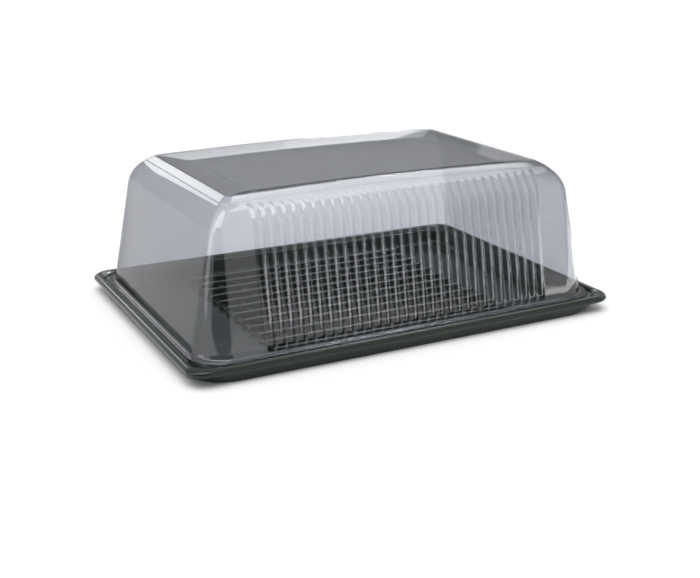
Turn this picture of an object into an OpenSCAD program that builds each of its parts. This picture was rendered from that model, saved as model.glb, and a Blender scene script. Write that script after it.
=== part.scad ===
// Humidity dome tray: a thermoformed black tray, a lift-out growing grid and a clear fluted dome.
// Millimetres. The origin is at the middle of the resting face, +X along the length, +Z up.

/* [Tray] */
// Length of the tray over its lip
tray_l = 370; // [340:1:420]
// Width of the tray over its lip
tray_w = 265; // [240:1:300]
// Height of the rim's bead above the table
rim_h = 14.4; // [13.6:0.2:18]
// Thickness of the black sheet
tray_t = 1.2; // [0.8:0.1:1.3]
// Radius of the rolled bead
bead_r = 3.3; // [3:0.1:3.6]
// Corner radius of the lip, in plan
lip_corner = 14; // [12:1:16]
// Corner radius of the skirt's lower edge, in plan
skirt_corner = 34; // [30:1:38]

/* [Dome] */
// Height of the closed dome above the table, at its middle
dome_h = 126; // [105:0.5:160]
// Thickness of the clear sheet
dome_t = 0.8; // [0.6:0.1:1]
// Lean of the walls, in degrees
draft = 11; // [7:1:13]
// Radius of the shoulder between the walls and the top
shoulder_r = 29; // [22:1:31]
// Corner radius at the foot, in plan
foot_corner = 26; // [24:1:27]
// Corner radius at the flat top, in plan
top_corner = 5; // [4:1:8]
// Rise of the top between its ends and its middle
crown = 4.5; // [2:0.5:6]
// Depth of the recessed top panel
panel_drop = 3.6; // [2:0.2:5]
// Width of the slope round the top panel
panel_border = 20; // [14:1:26]

/* [Flutes] */
// Grooves on each long wall
groove_count = 32; // [20:1:34]
// Distance from groove to groove
groove_pitch = 8; // [6:0.1:8]
// How far the flutes stand out between the grooves
flute_depth = 2.2; // [0.6:0.1:2.4]

/* [Grid] */
// Openings of the grid along its length
grid_cells_x = 12; // [8:1:16]
// Openings of the grid across its width
grid_cells_y = 11; // [6:1:12]
// Distance from bar to bar
grid_pitch = 17; // [13:0.5:17]
// Width of a bar
grid_bar = 4.4; // [2.4:0.2:5]
// Height of the long bars
grid_h = 5; // [4:0.2:6]

/* [Hidden] */

corner_steps = 6;                  // straight pieces in a quarter turn of a corner
floor_t = tray_t;
skirt_gap = 0.4;                   // the skirt's edge hangs just clear of the table
skirt_top = rim_h - 6;
skirt_lean = 3.6;                  // the skirt draws in by this much on its way down
channel_z = rim_h - 4.2;
channel_in = 8.8;                  // insets are measured inwards from the lip
channel_corner = 22;
ledge_z = rim_h - 1.4;
ledge_out = 10.8;
ledge_in = 15.6;
ledge_corner = 25;
floor_in = 22;
seat_gap = 0.1;                    // loose parts stand this far off what carries them

dome_seat = ledge_z + seat_gap;
dome_lip_out = 8.2;
dome_lip_drop = 1.8;
wall_foot = 12.3;                  // inset of the wall where it meets the flange
top_z = dome_h - crown;
shoulder_z = top_z + 0.4 - shoulder_r;
tangent_z = shoulder_z + shoulder_r * sin(draft);
tangent_in = wall_inset(tangent_z);
shoulder_in = tangent_in + shoulder_r * cos(draft);
flute_end = 42;                    // the flutes start to run out at this angle round the shoulder
flute_out = 57;                    // and are gone at this one
ridge_angle = 59;                  // a ridge round the top panel starts at this one
ridge_in = shoulder_in - shoulder_r * cos(ridge_angle);
ridge_z = shoulder_z + shoulder_r * sin(ridge_angle);
station_gap = 2;
grooves = [for (i = [0 : 2 * groove_count - 2])
    [(i / 2 - (groove_count - 1) / 2) * groove_pitch, i % 2]];

function wall_inset(z) = wall_foot + (z - ledge_z) * tan(draft);
function dome_corner(z) = foot_corner
    + (top_corner - foot_corner) * max(0, z - dome_seat) / (top_z - dome_seat);
function crown_at(x, z) = crown * pow(max(0, z - dome_seat) / (top_z - dome_seat), 3)
    * (1 - pow(2 * x / tray_l, 2));

// A ring is [inset, height, corner radius, flute depth].
// Half a ring, front side, from left to right. Each station is [x, share of the flute depth].
// Where a ring is too short for the stations, they move together a little.
function half_ring(ring, stations) =
    let (hx = tray_l / 2 - ring[0], hy = tray_w / 2 - ring[0], r = ring[2],
        span = len(stations) > 0 ? stations[len(stations) - 1][0] : 1,
        fit = min(1, (hx - r - station_gap) / span))
    concat(
        [for (i = [0 : corner_steps]) let (a = 180 + 90 * i / corner_steps)
            [-hx + r + r * cos(a), -hy + r + r * sin(a), ring[1]]],
        [for (s = stations) [s[0] * fit, -hy - s[1] * ring[3], ring[1]]],
        [for (i = [0 : corner_steps]) let (a = 270 + 90 * i / corner_steps)
            [hx - r + r * cos(a), -hy + r + r * sin(a), ring[1]]]);
// The back of a ring mirrors its front, without the flutes.
function whole_ring(ring, stations) =
    let (front = half_ring(ring, stations), back = half_ring([ring[0], ring[1], ring[2], 0], stations))
    concat(front, [for (i = [len(back) - 1 : -1 : 0]) [back[i][0], -back[i][1], back[i][2]]]);
function crowned(points) = [for (p = points) [p[0], p[1], p[2] + crown_at(p[0], p[2])]];

// A closed sheet through a list of rings: from its underside's middle, round its free edge,
// to its upper side's middle. Both ends are closed by strips across the width.
module sheet(rings, stations, rises) {
    loops = [for (ring = rings) whole_ring(ring, stations)];
    n = len(loops[0]);
    last = (len(rings) - 1) * n;
    points = [for (loop = loops, p = loop) p];
    sides = [for (k = [0 : len(rings) - 2], i = [0 : n - 1]) let (j = (i + 1) % n)
        [k * n + i, k * n + n + i, k * n + n + j, k * n + j]];
    underside = [for (i = [0 : n / 2 - 2]) [i, i + 1, n - 2 - i, n - 1 - i]];
    upperside = [for (i = [0 : n / 2 - 2])
        [last + i, last + n - 1 - i, last + n - 2 - i, last + i + 1]];
    polyhedron(rises ? crowned(points) : points, concat(sides, underside, upperside));
}

// Round stretch of a section. A corner radius runs from c0 to c1 along it.
function arc(u, z, r, a0, a1, steps, c0, c1) =
    [for (i = [0 : steps]) let (s = i / steps, a = a0 + (a1 - a0) * s)
        [u - r * cos(a), z + r * sin(a), c0 + (c1 - c0) * s, 0]];

bead_z = rim_h - bead_r;
bead_in = bead_r - tray_t;
tray_underside = [
    [floor_in - 0.6, 0, 16, 0],
    [floor_in - 3.2, 2.2, 18, 0],
    [ledge_in + 0.2, ledge_z - tray_t - 0.4, 21, 0],
    [ledge_in - 0.4, ledge_z - tray_t, 21, 0],
    [ledge_out + 0.4, ledge_z - tray_t, ledge_corner, 0],
    [channel_in + 1, channel_z - tray_t, ledge_corner, 0],
    [2 * bead_r + 0.2, channel_z - tray_t, channel_corner, 0]];
bead_underside = concat(
    arc(bead_r, bead_z, bead_in, 180, 90, 3, 20, lip_corner),
    arc(bead_r, bead_z, bead_in, 60, 0, 2, lip_corner, lip_corner));
skirt = [
    [tray_t + 0.2, bead_z - 0.7, lip_corner, 0],
    [tray_t + 2.4, skirt_top + tray_t, 27, 0],
    [tray_t + 2.4 + skirt_lean, skirt_gap, skirt_corner, 0],
    [2.4 + skirt_lean, skirt_gap, skirt_corner, 0],
    [2.4, skirt_top, 27, 0],
    [0.6, skirt_top + 0.6, lip_corner + 1, 0]];
bead_top = concat(
    arc(bead_r, bead_z, bead_r, 0, 90, 4, lip_corner, lip_corner),
    arc(bead_r, bead_z, bead_r, 112, 180, 3, lip_corner, 20));
tray_upperside = [
    [2 * bead_r + 0.3, channel_z, channel_corner, 0],
    [channel_in, channel_z, 26, 0],
    [ledge_out - 1, ledge_z - 0.6, ledge_corner, 0],
    [ledge_out, ledge_z, ledge_corner, 0],
    [ledge_in, ledge_z, 21, 0],
    [ledge_in + 1.2, ledge_z - 0.8, 20, 0],
    [floor_in - 2.2, floor_t + 2, 17, 0],
    [floor_in, floor_t, 16, 0]];

module tray() {
    color([0.07, 0.08, 0.07])
        sheet(concat(tray_underside, bead_underside, skirt, bead_top, tray_upperside), [], false);
}

function wall_ring(z, depth, into) =
    [wall_inset(z) + into / cos(draft), z, dome_corner(z), depth];
function shoulder_ring(a, depth, into) =
    let (z = shoulder_z + (shoulder_r - into) * sin(a))
    [shoulder_in - (shoulder_r - into) * cos(a), z, dome_corner(z), depth];
// The ridge, over its crest and down the slope to the panel, as [distance inwards, height].
ridge = [
    [0, ridge_z],
    [0.1, ridge_z + 0.5],
    [5.8, top_z - 0.4],
    [6.9, top_z],
    [8, top_z - 0.6],
    [8 + panel_border, top_z - panel_drop]];
function facing_out(a, b) = [a[1] - b[1], b[0] - a[0]] / norm(b - a);
ridge_normals = concat(
    [[-cos(ridge_angle), sin(ridge_angle)]],
    [for (i = [0 : len(ridge) - 2]) facing_out(ridge[i], ridge[i + 1])],
    [[0, 1]]);
function ridge_ring(i, into) =
    let (n = ridge_normals[i], m = ridge_normals[i + 1], p = ridge[i] - into * (n + m) / (1 + n * m))
    [ridge_in + p[0], p[1], dome_corner(min(top_z, ridge[i][1])), 0];
dome_inside = concat(
    [for (i = [len(ridge) - 1 : -1 : 0]) ridge_ring(i, dome_t)],
    [shoulder_ring(flute_out, 0, dome_t),
     shoulder_ring(flute_end, flute_depth, dome_t),
     shoulder_ring(27, flute_depth, dome_t),
     wall_ring(tangent_z - 1, flute_depth, dome_t),
     wall_ring(ledge_z + 6, flute_depth, dome_t),
     wall_ring(ledge_z + 3, 0, dome_t),
     wall_ring(dome_seat, 0, dome_t),
     [dome_lip_out + dome_t, dome_seat, foot_corner, 0],
     [dome_lip_out + dome_t, dome_seat - dome_lip_drop, foot_corner, 0]]);
dome_outside = concat(
    [[dome_lip_out, dome_seat - dome_lip_drop, foot_corner, 0],
     [dome_lip_out, dome_seat + dome_t, foot_corner, 0],
     [wall_inset(dome_seat) - 0.6, dome_seat + dome_t, foot_corner, 0],
     wall_ring(ledge_z + 3, 0, 0),
     wall_ring(ledge_z + 6, flute_depth, 0),
     wall_ring(tangent_z - 1, flute_depth, 0),
     shoulder_ring(27, flute_depth, 0),
     shoulder_ring(flute_end, flute_depth, 0),
     shoulder_ring(flute_out, 0, 0)],
    [for (i = [0 : len(ridge) - 1]) ridge_ring(i, 0)]);

module dome() {
    color([0.75, 0.78, 0.82, 0.35])
        sheet(concat(dome_inside, dome_outside), grooves, true);
}

// The long bars stand on low cross ties.
module grid_insert() {
    length = grid_cells_x * grid_pitch + grid_bar;
    width = grid_cells_y * grid_pitch + grid_bar;
    cross_h = 1.6;
    color([0.09, 0.1, 0.09])
        translate([-length / 2, -width / 2, floor_t + seat_gap]) {
            for (i = [0 : grid_cells_y])
                translate([0, i * grid_pitch, 0]) cube([length, grid_bar, grid_h]);
            for (i = [0 : grid_cells_x])
                translate([i * grid_pitch, 0, 0]) cube([grid_bar, width, cross_h]);
        }
}

tray();
grid_insert();
dome();
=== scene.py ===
"""Looks for the humidity dome tray: a black thermoformed tray, a lift-out grid and a clear fluted dome.

Everything is in metres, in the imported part's own frame: +X along the tray, +Z up, origin on the table.
A section is a list of (inset, height, corner radius) from one edge of a sheet to its middle, where the
inset is measured inwards from the tray's lip. A sheet is swept round the rounded rectangle that each
point of its section stands for, and given its thickness.
"""

import math

import bpy
import numpy as np
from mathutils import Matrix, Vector


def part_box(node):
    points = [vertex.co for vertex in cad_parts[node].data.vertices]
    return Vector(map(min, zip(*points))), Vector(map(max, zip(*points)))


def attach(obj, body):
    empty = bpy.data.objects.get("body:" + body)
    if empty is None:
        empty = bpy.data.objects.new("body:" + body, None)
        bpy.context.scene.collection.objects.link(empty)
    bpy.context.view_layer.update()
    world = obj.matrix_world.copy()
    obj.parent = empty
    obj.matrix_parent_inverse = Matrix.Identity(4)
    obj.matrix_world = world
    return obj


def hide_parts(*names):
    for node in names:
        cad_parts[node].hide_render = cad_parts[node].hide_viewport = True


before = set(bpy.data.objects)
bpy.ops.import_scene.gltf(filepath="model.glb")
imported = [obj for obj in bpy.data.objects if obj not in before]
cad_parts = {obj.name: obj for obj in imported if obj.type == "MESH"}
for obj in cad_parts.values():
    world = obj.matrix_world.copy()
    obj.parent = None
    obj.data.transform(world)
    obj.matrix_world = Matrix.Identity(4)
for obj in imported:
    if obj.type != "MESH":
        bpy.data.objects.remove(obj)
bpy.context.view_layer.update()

MM = 0.001

# ---------------------------------------------------------------- sizes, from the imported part
_, tray_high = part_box("tray")
grid_low, grid_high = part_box("grid_insert")
_, dome_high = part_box("dome")
HALF_X = tray_high.x
HALF_Y = tray_high.y
RIM_Z = tray_high.z

TRAY_T = 1.2 * MM
BEAD_R = 3.3 * MM
LIP_CORNER = 14 * MM
SKIRT_CORNER = 34 * MM
CHANNEL_CORNER = 22 * MM
LEDGE_CORNER = 25 * MM
LEDGE_Z = RIM_Z - 1.4 * MM
CHANNEL_Z = RIM_Z - 4.2 * MM
FLOOR_IN = 22 * MM

DOME_T = 0.8 * MM
DRAFT = math.radians(11)
SHOULDER_R = 29 * MM
CROWN = 4.5 * MM
FOOT_CORNER = 26 * MM
TOP_CORNER = 5 * MM
PANEL_DROP = 3.6 * MM
PANEL_BORDER = 20 * MM
DOME_SEAT = LEDGE_Z + 0.1 * MM
LIP_OUT = HALF_X - dome_high.x
WALL_FOOT = 12.3 * MM
TOP_Z = dome_high.z - CROWN
SHOULDER_Z = TOP_Z + 0.4 * MM - SHOULDER_R
RIDGE_ANGLE = math.radians(59)

GROOVES = 32
PITCH = 8 * MM
FLUTE_DEPTH = 2.2 * MM
FLUTE_FOOT = LEDGE_Z + 2 * MM
FLUTE_END = math.radians(43)


# ---------------------------------------------------------------- sections
def rounded(points, steps=6):
    """A section through corners, each (inset, height, corner radius, rounding) and eased by its rounding."""
    out = []
    for k, (u, z, corner, ease) in enumerate(points):
        here = np.array([u, z, corner])
        if ease == 0 or k in (0, len(points) - 1):
            out.append(here)
            continue
        before = np.array(points[k - 1][:3]) - here
        after = np.array(points[k + 1][:3]) - here
        enter = here + before * min(0.48, ease / np.hypot(*before[:2]))
        leave = here + after * min(0.48, ease / np.hypot(*after[:2]))
        for s in np.linspace(0, 1, steps + 1):
            out.append((1 - s) ** 2 * enter + 2 * s * (1 - s) * here + s**2 * leave)
    return out


def arc(u, z, r, start, end, steps, corner_start, corner_end):
    """Round stretch of a section; 180 degrees faces outwards and 90 degrees faces up."""
    angles = np.radians(np.linspace(start, end, steps + 1))
    corners = np.linspace(corner_start, corner_end, steps + 1)
    return [np.array([u + r * math.cos(a), z + r * math.sin(a), c]) for a, c in zip(angles, corners)]


def wall_inset(z):
    return WALL_FOOT + (z - LEDGE_Z) * math.tan(DRAFT)


def dome_corner(z):
    share = max(0.0, z - DOME_SEAT) / (TOP_Z - DOME_SEAT)
    return FOOT_CORNER + (TOP_CORNER - FOOT_CORNER) * min(1.0, share)


def tray_section():
    """The tray's upper skin, from the skirt's lower edge over the bead to the floor."""
    skirt = rounded([
        (6.0 * MM, 0.4 * MM, SKIRT_CORNER, 0),
        (5.4 * MM, 1.6 * MM, SKIRT_CORNER - 1 * MM, 0.8 * MM),
        (2.4 * MM, RIM_Z - 6.0 * MM, 27 * MM, 0.7 * MM),
        (0.7 * MM, RIM_Z - 5.4 * MM, LIP_CORNER + 1 * MM, 0.5 * MM),
        (0.02 * MM, RIM_Z - BEAD_R - 0.7 * MM, LIP_CORNER, 0),
    ])
    bead = arc(BEAD_R, RIM_Z - BEAD_R, BEAD_R, 180, 90, 12, LIP_CORNER, LIP_CORNER)
    bead += arc(BEAD_R, RIM_Z - BEAD_R, BEAD_R, 82, 0, 11, LIP_CORNER + 0.5 * MM, 20 * MM)
    inside = rounded([
        (6.7 * MM, CHANNEL_Z + 0.3 * MM, 21.5 * MM, 0),
        (7.0 * MM, CHANNEL_Z, CHANNEL_CORNER, 0),
        (8.8 * MM, CHANNEL_Z, 26 * MM, 0.8 * MM),
        (9.9 * MM, LEDGE_Z - 0.1 * MM, LEDGE_CORNER, 0.7 * MM),
        (10.6 * MM, LEDGE_Z, LEDGE_CORNER, 0.3 * MM),
        (15.9 * MM, LEDGE_Z, 21 * MM, 1.0 * MM),
        (19.8 * MM, 3.0 * MM, 17 * MM, 2.0 * MM),
        (FLOOR_IN, TRAY_T, 16 * MM, 1.6 * MM),
        (FLOOR_IN + 6 * MM, TRAY_T, 12 * MM, 0),
    ])
    return skirt + bead + inside


def dome_section():
    """The dome's outer skin: flange, wall, shoulder, ridge, and the slope down to the top panel."""
    tangent_z = SHOULDER_Z + SHOULDER_R * math.sin(DRAFT)
    shoulder_in = wall_inset(tangent_z) + SHOULDER_R * math.cos(DRAFT)
    foot = rounded([
        (LIP_OUT, DOME_SEAT - 1.8 * MM, FOOT_CORNER, 0),
        (LIP_OUT, DOME_SEAT + DOME_T, FOOT_CORNER, 0.7 * MM),
        (wall_inset(DOME_SEAT), DOME_SEAT + DOME_T, FOOT_CORNER, 1.6 * MM),
        (wall_inset(LEDGE_Z + 4.5 * MM), LEDGE_Z + 4.5 * MM, dome_corner(LEDGE_Z + 4.5 * MM), 0),
    ])
    low, high = LEDGE_Z + 5.0 * MM, tangent_z - 0.3 * MM
    ends = np.arange(low, low + 9 * MM, 0.5 * MM)
    heights = np.concatenate([ends, np.arange(ends[-1] + 4 * MM, high, 6 * MM)])
    wall = [np.array([wall_inset(z), z, dome_corner(z)]) for z in heights]
    shoulder = []
    for a in np.linspace(DRAFT, RIDGE_ANGLE, 56):
        z = SHOULDER_Z + SHOULDER_R * math.sin(a)
        shoulder.append(np.array([shoulder_in - SHOULDER_R * math.cos(a), z, dome_corner(z)]))
    u, z, corner = shoulder.pop()
    ridge = rounded([
        (shoulder[-1][0], shoulder[-1][1], shoulder[-1][2], 0),
        (u, z, corner, 0.25 * MM),
        (u + 0.1 * MM, z + 0.5 * MM, corner, 0.3 * MM),
        (u + 5.8 * MM, TOP_Z - 0.4 * MM, TOP_CORNER, 0.6 * MM),
        (u + 6.9 * MM, TOP_Z, TOP_CORNER, 0.5 * MM),
        (u + 8 * MM, TOP_Z - 0.6 * MM, TOP_CORNER, 0.5 * MM),
        (u + 8 * MM + PANEL_BORDER, TOP_Z - PANEL_DROP, TOP_CORNER, 1.2 * MM),
        (u + 12 * MM + PANEL_BORDER, TOP_Z - PANEL_DROP, TOP_CORNER, 0),
    ])
    return foot + wall + shoulder + ridge[1:]


# ---------------------------------------------------------------- sheets
STATION_GAP = 1.5 * MM
CORNER_GAP = 0.8 * MM


def loop(u, z, corner, stations, corner_steps):
    """One loop round the rounded rectangle at that inset. The back half mirrors the front half.

    The stations move together where a loop is too short for them. One more point near each corner keeps
    the plain ends of the wall flat.
    """
    hx, hy = HALF_X - u, HALF_Y - u
    turn = np.linspace(0, math.pi / 2, corner_steps + 1)
    reach = hx - corner
    span = stations[-1] if len(stations) else reach
    along = np.array(stations) * min(1.0, (reach - STATION_GAP) / span)
    if len(stations):
        along = np.concatenate([[CORNER_GAP - reach], along, [reach - CORNER_GAP]])
    left = np.stack([-reach - corner * np.cos(turn), -hy + corner - corner * np.sin(turn)], 1)
    middle = np.stack([along, np.full(len(along), -hy)], 1)
    right = np.stack([reach + corner * np.sin(turn), -hy + corner - corner * np.cos(turn)], 1)
    front = np.concatenate([left, middle, right])
    back = front[::-1] * [1, -1]
    flat = np.concatenate([front, back])
    return np.column_stack([flat, np.full(len(flat), z)])


def swept(section, stations, corner_steps, cap_rows):
    """Points by loop, and the faces between loops. The last loop is closed by rows across the width."""
    loops = np.array([loop(*point, stations, corner_steps) for point in section])
    count, around = loops.shape[:2]
    faces = []
    for k in range(count - 1):
        for i in range(around):
            j = (i + 1) % around
            faces.append((k * around + i, k * around + j, (k + 1) * around + j, (k + 1) * around + i))
    half = around // 2
    last = (count - 1) * around
    front = [last + i for i in range(half)]
    back = [last + around - 1 - i for i in range(half)]
    rows = [front]
    inner = []
    for r in range(1, cap_rows):
        share = r / cap_rows
        rows.append([count * around + len(inner) + i for i in range(half)])
        inner += list(loops[-1][:half] * (1 - share) + loops[-1][::-1][:half] * share)
    rows.append(back)
    for low, high in zip(rows, rows[1:]):
        for i in range(half - 1):
            faces.append((low[i], low[i + 1], high[i + 1], high[i]))
    return loops, np.array(inner), faces


def make_mesh(name, points, faces):
    mesh = bpy.data.meshes.new(name)
    mesh.from_pydata([tuple(p) for p in points], [], faces)
    mesh.validate()
    mesh.update()
    piece = bpy.data.objects.new(name, mesh)
    bpy.context.collection.objects.link(piece)
    return piece


def thicken(piece, thickness):
    """Gives a skin its thickness, away from its outer side, and smooth shading."""
    solid = piece.modifiers.new("thickness", "SOLIDIFY")
    solid.thickness = thickness
    solid.offset = -1
    piece.data.polygons.foreach_set("use_smooth", [True] * len(piece.data.polygons))


# ---------------------------------------------------------------- the dome's flutes
FIRST_GROOVE = -(GROOVES - 1) / 2 * PITCH
DOME_CORNER_STEPS = 14
GROOVE_EDGE = 0.6 * MM  # the plain ends start this far past the last grooves
CREST = 0.15  # roundness of a rib's crest, as a share of half its width
STEEP_FOOT = 0.14  # share of a rib's height that rises steeply at the grooves
FADE_IN = 5 * MM  # a rib reaches its full height over this length at its lower end,
FADE_OUT = 34 * MM  # and loses height over this one towards its top,
TOP_SHARE = 0.22  # down to this share of it,
RUN_OUT = 7 * MM  # which runs out over this length


def flute_stations(steps=14):
    """Places along the wall, closer together near each groove."""
    out = [FIRST_GROOVE - GROOVE_EDGE, FIRST_GROOVE]
    for k in range(GROOVES - 1):
        middle = FIRST_GROOVE + (k + 0.5) * PITCH
        out += [middle - PITCH / 2 * math.cos(math.pi * i / steps) for i in range(1, steps + 1)]
    return out + [GROOVE_EDGE - FIRST_GROOVE]


def rib(distance):
    """Height of a rib, from 1 at its crest to 0 at the grooves, with straight flanks."""
    flank = (math.hypot(1, CREST) - np.hypot(distance, CREST)) / (math.hypot(1, CREST) - CREST)
    return np.where(distance < 1, (1 - STEEP_FOOT) * flank + STEEP_FOOT * (1 - distance**8), 0)


def flute_rise(x, height, low, high):
    """How far the wall stands out: ribs between the grooves, which run out slowly towards their tops."""
    cell = (x - FIRST_GROOVE) / PITCH
    inside = (cell > 0) & (cell < GROOVES - 1)
    across = (cell - np.floor(cell) - 0.5) * 2
    places = [low, low + FADE_IN, high - FADE_OUT, high, high + RUN_OUT]
    depth = FLUTE_DEPTH * np.interp(height, places, [0, 1, 1, TOP_SHARE, 0])
    return np.where(inside, depth * rib(np.abs(across)), 0)


def crown_at(points):
    share = np.clip((points[..., 2] - DOME_SEAT) / (TOP_Z - DOME_SEAT), 0, None)
    return CROWN * share**3 * (1 - (points[..., 0] / HALF_X) ** 2)


def build_dome():
    stations = flute_stations()
    section = dome_section()
    loops, inner, faces = swept(section, stations, DOME_CORNER_STEPS, cap_rows=24)
    run = np.array(section)
    step = np.gradient(run[:, :2], axis=0)
    length = np.hypot(*step.T)
    normal_out, normal_up = step[:, 1] / length, step[:, 0] / length
    arc_length = np.concatenate([[0], np.cumsum(np.hypot(*np.diff(run[:, :2], axis=0).T))])
    top = run[:, 1].argmax()
    ends = (FLUTE_FOOT, SHOULDER_Z + SHOULDER_R * math.sin(FLUTE_END))
    low, high = np.interp(ends, run[:top, 1], arc_length[:top])
    first = DOME_CORNER_STEPS + 2
    front = slice(first, first + len(stations))
    rise = flute_rise(loops[:, front, 0], arc_length[:, None], low, high)
    loops[:, front, 1] -= rise * normal_out[:, None]
    loops[:, front, 2] += rise * normal_up[:, None]
    points = np.concatenate([loops.reshape(-1, 3), inner])
    points[:, 2] += crown_at(points)
    dome = make_mesh("clear_dome", points, faces)
    thicken(dome, DOME_T)
    return dome


def build_tray():
    loops, inner, faces = swept(tray_section(), [], corner_steps=24, cap_rows=16)
    points = np.concatenate([loops.reshape(-1, 3), inner])
    tray = make_mesh("black_tray", points, faces)
    thicken(tray, TRAY_T)
    return tray


# ---------------------------------------------------------------- the lift-out grid
GRID_PITCH = 17 * MM
GRID_BAR = 4.4 * MM
CROSS_H = 1.6 * MM


def bar_edges(low, high):
    """Both edges of each bar across one direction of the grid."""
    count = round((high - low - GRID_BAR) / GRID_PITCH)
    return [low + i * GRID_PITCH + side for i in range(count + 1) for side in (0, GRID_BAR)]


def build_grid():
    """A lattice of long bars on low cross ties, as the boundary of the cells that they fill."""
    xs = bar_edges(grid_low.x, grid_high.x)
    ys = bar_edges(grid_low.y, grid_high.y)
    zs = [grid_low.z, grid_low.z + CROSS_H, grid_high.z]
    shape = (len(xs) - 1, len(ys) - 1, len(zs) - 1)

    def filled(i, j, k):
        if not (0 <= i < shape[0] and 0 <= j < shape[1] and 0 <= k < shape[2]):
            return False
        return j % 2 == 0 or (i % 2 == 0 and k == 0)

    sides = {
        (-1, 0, 0): ((0, 0, 0), (0, 0, 1), (0, 1, 1), (0, 1, 0)),
        (1, 0, 0): ((1, 0, 0), (1, 1, 0), (1, 1, 1), (1, 0, 1)),
        (0, -1, 0): ((0, 0, 0), (1, 0, 0), (1, 0, 1), (0, 0, 1)),
        (0, 1, 0): ((0, 1, 0), (0, 1, 1), (1, 1, 1), (1, 1, 0)),
        (0, 0, -1): ((0, 0, 0), (0, 1, 0), (1, 1, 0), (1, 0, 0)),
        (0, 0, 1): ((0, 0, 1), (1, 0, 1), (1, 1, 1), (0, 1, 1)),
    }
    index = {}
    faces = []
    for i in range(shape[0]):
        for j in range(shape[1]):
            for k in range(shape[2]):
                if not filled(i, j, k):
                    continue
                for (di, dj, dk), corners in sides.items():
                    if filled(i + di, j + dj, k + dk):
                        continue
                    keys = [(i + a, j + b, k + c) for a, b, c in corners]
                    faces.append([index.setdefault(key, len(index)) for key in keys])
    points = [(xs[i], ys[j], zs[k]) for i, j, k in index]
    grid = make_mesh("growing_grid", points, faces)
    bevel = grid.modifiers.new("soft_edges", "BEVEL")
    bevel.width = 0.7 * MM
    bevel.segments = 3
    bevel.limit_method = "ANGLE"
    bevel.angle_limit = math.radians(40)
    return grid


# ---------------------------------------------------------------- materials
def new_material(name):
    material = bpy.data.materials.new(name)
    material.use_nodes = True
    tree = material.node_tree
    return material, tree, tree.nodes["Principled BSDF"], tree.nodes["Material Output"]


def noise(tree, scale, detail=3.0, rough=0.5):
    place = tree.nodes.new("ShaderNodeTexCoord")
    texture = tree.nodes.new("ShaderNodeTexNoise")
    texture.inputs["Scale"].default_value = scale
    texture.inputs["Detail"].default_value = detail
    texture.inputs["Roughness"].default_value = rough
    tree.links.new(place.outputs["Object"], texture.inputs["Vector"])
    return texture.outputs["Fac"]


def ramp(tree, value, stops):
    node = tree.nodes.new("ShaderNodeValToRGB")
    elements = node.color_ramp.elements
    while len(elements) < len(stops):
        elements.new(0.5)
    for element, (place, colour) in zip(elements, stops):
        element.position = place
        element.color = (*colour, 1)
    tree.links.new(value, node.inputs["Fac"])
    return node.outputs["Color"]


def remap(tree, value, low, high):
    node = tree.nodes.new("ShaderNodeMapRange")
    node.inputs["From Min"].default_value = 0.3
    node.inputs["From Max"].default_value = 0.7
    node.inputs["To Min"].default_value = low
    node.inputs["To Max"].default_value = high
    tree.links.new(value, node.inputs["Value"])
    return node.outputs["Result"]


def bumped(tree, shader, height, strength, distance):
    node = tree.nodes.new("ShaderNodeBump")
    node.inputs["Strength"].default_value = strength
    node.inputs["Distance"].default_value = distance
    tree.links.new(height, node.inputs["Height"])
    tree.links.new(node.outputs["Normal"], shader.inputs["Normal"])


def black_plastic(name, dark, light, rough_low, rough_high, grain):
    material, tree, shader, _ = new_material(name)
    colour = ramp(tree, noise(tree, 14), [(0.35, dark), (0.65, light)])
    tree.links.new(colour, shader.inputs["Base Color"])
    tree.links.new(remap(tree, noise(tree, 45, 5), rough_low, rough_high), shader.inputs["Roughness"])
    bumped(tree, shader, noise(tree, grain, 2), 0.06, 0.4 * MM)
    shader.inputs["IOR"].default_value = 1.4
    return material


def math_node(tree, operation, first, second):
    node = tree.nodes.new("ShaderNodeMath")
    node.operation = operation
    for socket, value in zip(node.inputs, (first, second)):
        if isinstance(value, float):
            socket.default_value = value
        else:
            tree.links.new(value, socket)
    return node.outputs[0]


FACE_ON_MIRROR = 0.05
MOST_MIRROR = 0.4


def clear_plastic():
    """A thin clear sheet with a cool tint, which passes light straight through.

    It mirrors more at a low angle: from FACE_ON_MIRROR, seen face on, up to MOST_MIRROR.
    """
    material, tree, shader, output = new_material("clear_sheet")
    tree.nodes.remove(shader)
    facing = tree.nodes.new("ShaderNodeLayerWeight")
    facing.inputs["Blend"].default_value = 0.5
    see_through = tree.nodes.new("ShaderNodeBsdfTransparent")
    tint = ramp(tree, facing.outputs["Facing"], [
        (0.0, (0.85, 0.855, 0.878)),
        (0.2, (0.85, 0.855, 0.878)),
        (0.4, (0.76, 0.77, 0.795)),
        (0.6, (0.67, 0.68, 0.705)),
        (0.8, (0.565, 0.575, 0.60)),
        (1.0, (0.25, 0.26, 0.27)),
    ])
    tree.links.new(tint, see_through.inputs["Color"])
    mirror = tree.nodes.new("ShaderNodeBsdfGlossy")
    mirror.inputs["Roughness"].default_value = 0.04
    grazing = math_node(tree, "POWER", facing.outputs["Facing"], 5.5)
    share = math_node(tree, "MULTIPLY_ADD", grazing, 1 - FACE_ON_MIRROR)
    share.node.inputs[2].default_value = FACE_ON_MIRROR
    share = math_node(tree, "MINIMUM", share, MOST_MIRROR)
    mix = tree.nodes.new("ShaderNodeMixShader")
    tree.links.new(share, mix.inputs["Fac"])
    tree.links.new(see_through.outputs["BSDF"], mix.inputs[1])
    tree.links.new(mirror.outputs["BSDF"], mix.inputs[2])
    tree.links.new(mix.outputs["Shader"], output.inputs["Surface"])
    return material


# ---------------------------------------------------------------- pieces
def place(piece, body, node, slot, material):
    piece.data.materials.append(material)
    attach(piece, body)
    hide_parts(node)


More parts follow.
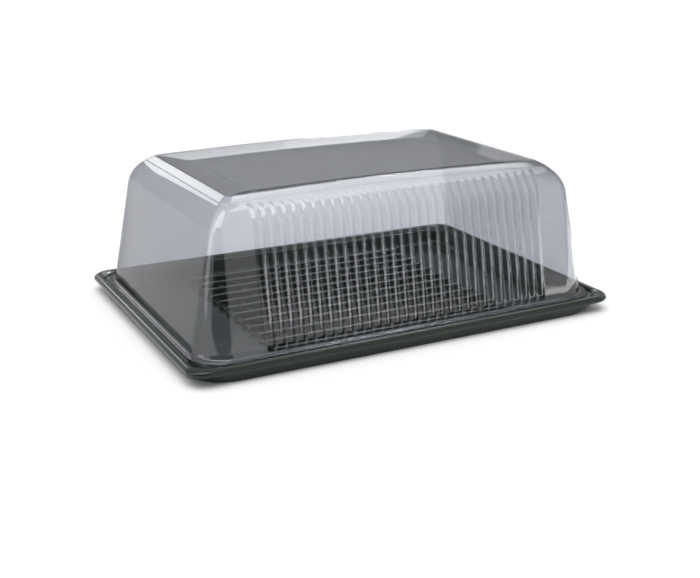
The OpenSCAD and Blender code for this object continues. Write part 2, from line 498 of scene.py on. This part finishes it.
place(build_tray(), "tray", "tray", "black_sheet",
      black_plastic("black_sheet", (0.005, 0.012, 0.007), (0.008, 0.017, 0.010), 0.11, 0.2, 260))
place(build_grid(), "grid_insert", "grid_insert", "black_moulded",
      black_plastic("black_moulded", (0.011, 0.018, 0.014), (0.018, 0.026, 0.021), 0.22, 0.34, 900))
place(build_dome(), "dome", "dome", "clear_sheet", clear_plastic())


# ---------------------------------------------------------------- stage, light and camera
def build_floor():
    bpy.ops.mesh.primitive_plane_add(size=60, location=(0, 0, 0))
    floor = bpy.context.object
    floor.name = "floor"
    material, _, shader, _ = new_material("pale_floor")
    shader.inputs["Base Color"].default_value = (0.9, 0.9, 0.9, 1)
    shader.inputs["Roughness"].default_value = 0.7
    shader.inputs["Specular IOR Level"].default_value = 0.1
    floor.data.materials.append(material)


def direction(azimuth, elevation):
    """Azimuth in degrees from +Y towards +X."""
    a, e = math.radians(azimuth), math.radians(elevation)
    return (math.sin(a) * math.cos(e), math.cos(a) * math.cos(e), math.sin(e))


def dark_patch(tree, view, azimuth, elevation, radius, soft, level):
    """A factor that drops to `level` inside a round patch of the surroundings."""
    dot = tree.nodes.new("ShaderNodeVectorMath")
    dot.operation = "DOT_PRODUCT"
    dot.inputs[1].default_value = direction(azimuth, elevation)
    tree.links.new(view, dot.inputs[0])
    edge = tree.nodes.new("ShaderNodeMapRange")
    edge.inputs["From Min"].default_value = math.cos(math.radians(radius + soft))
    edge.inputs["From Max"].default_value = math.cos(math.radians(radius - soft))
    edge.inputs["To Min"].default_value = 1.0
    edge.inputs["To Max"].default_value = level
    tree.links.new(dot.outputs["Value"], edge.inputs["Value"])
    return edge.outputs["Result"]


ROOM_LIGHT = 0.92


def build_world():
    """A bright room with a darker wall behind on the right, and a dark side behind the camera."""
    world = bpy.data.worlds.new("studio")
    bpy.context.scene.world = world
    world.use_nodes = True
    tree = world.node_tree
    background = tree.nodes["Background"]
    view = tree.nodes.new("ShaderNodeTexCoord").outputs["Generated"]
    wall = dark_patch(tree, view, 32, 14, 24, 4, 0.5)
    room = dark_patch(tree, view, 208, 8, 36, 4, 0.08)
    background.inputs["Color"].default_value = (1, 1, 1, 1)
    strength = math_node(tree, "MULTIPLY", math_node(tree, "MULTIPLY", wall, room), ROOM_LIGHT)
    tree.links.new(strength, background.inputs["Strength"])


def card(name, place_at, target, size, radiance):
    """A lit card that only shows in reflections."""
    light = bpy.data.lights.new(name, "AREA")
    light.shape = "RECTANGLE"
    light.size, light.size_y = size
    light.energy = radiance * math.pi * size[0] * size[1]
    lamp = bpy.data.objects.new(name, light)
    bpy.context.collection.objects.link(lamp)
    lamp.location = place_at
    lamp.rotation_euler = (Vector(target) - Vector(place_at)).to_track_quat("-Z", "Y").to_euler()
    lamp.visible_camera = False
    lamp.visible_diffuse = False


def sun_light():
    light = bpy.data.lights.new("sun", "SUN")
    light.energy = 1.6
    light.angle = math.radians(50)
    lamp = bpy.data.objects.new("sun", light)
    bpy.context.collection.objects.link(lamp)
    lamp.rotation_euler = (math.radians(20), math.radians(-14), 0)


def build_camera():
    """The viewing angle: from the front left, a little above."""
    yaw, pitch = math.radians(27.55), math.radians(18.51)
    data = bpy.data.cameras.new("camera")
    data.lens = 55.36
    data.sensor_width = 36
    data.clip_end = 100
    camera = bpy.data.objects.new("camera", data)
    bpy.context.collection.objects.link(camera)
    camera.location = (-0.4025, -0.7837, 0.3034)
    camera.rotation_euler = (math.pi / 2 - pitch, 0, -yaw)
    bpy.context.scene.camera = camera


build_floor()
build_world()
sun_light()
# Cards: name, place, target, size, radiance.
card("overhead", (0.75, -0.09, 1.4), (0.75, -0.09, 0), (0.9, 0.80), 2.3)
card("overhead_back", (0.75, 0.50, 1.4), (0.75, 0.50, 0), (0.9, 0.38), 4.2)
card("back", (1.0, 1.75, 1.28), (0, 0.1, 0.12), (1.7, 0.52), 2.4)
card("back_left", (-0.26, 2.0, 0.98), (-0.26, 0, 0.12), (0.5, 0.5), 3.0)
card("back_right", (0.45, 0.45, 0.38), (0.15, 0, 0.124), (0.5, 0.12), 0.6)
card("left", (-1.2, 0.1, 0.25), (-0.1, 0, 0.05), (0.5, 0.5), 1.6)
card("left_high", (-1.31, -0.26, 1.02), (-0.14, -0.1, 0.1), (0.6, 0.9), 2.2)
card("edge_light", (1.37, 1.47, 2.23), (0, 0, 0.05), (0.5, 0.5), 36)
card("front_right", (0.61, -0.33, 0.018), (0.61, -0.33, 1), (1.18, 0.37), 3.5)
card("right", (0.70, -0.08, 0.018), (0.70, -0.08, 1), (1.0, 0.13), 3.5)
build_camera()
bpy.context.scene.view_settings.view_transform = "Standard"
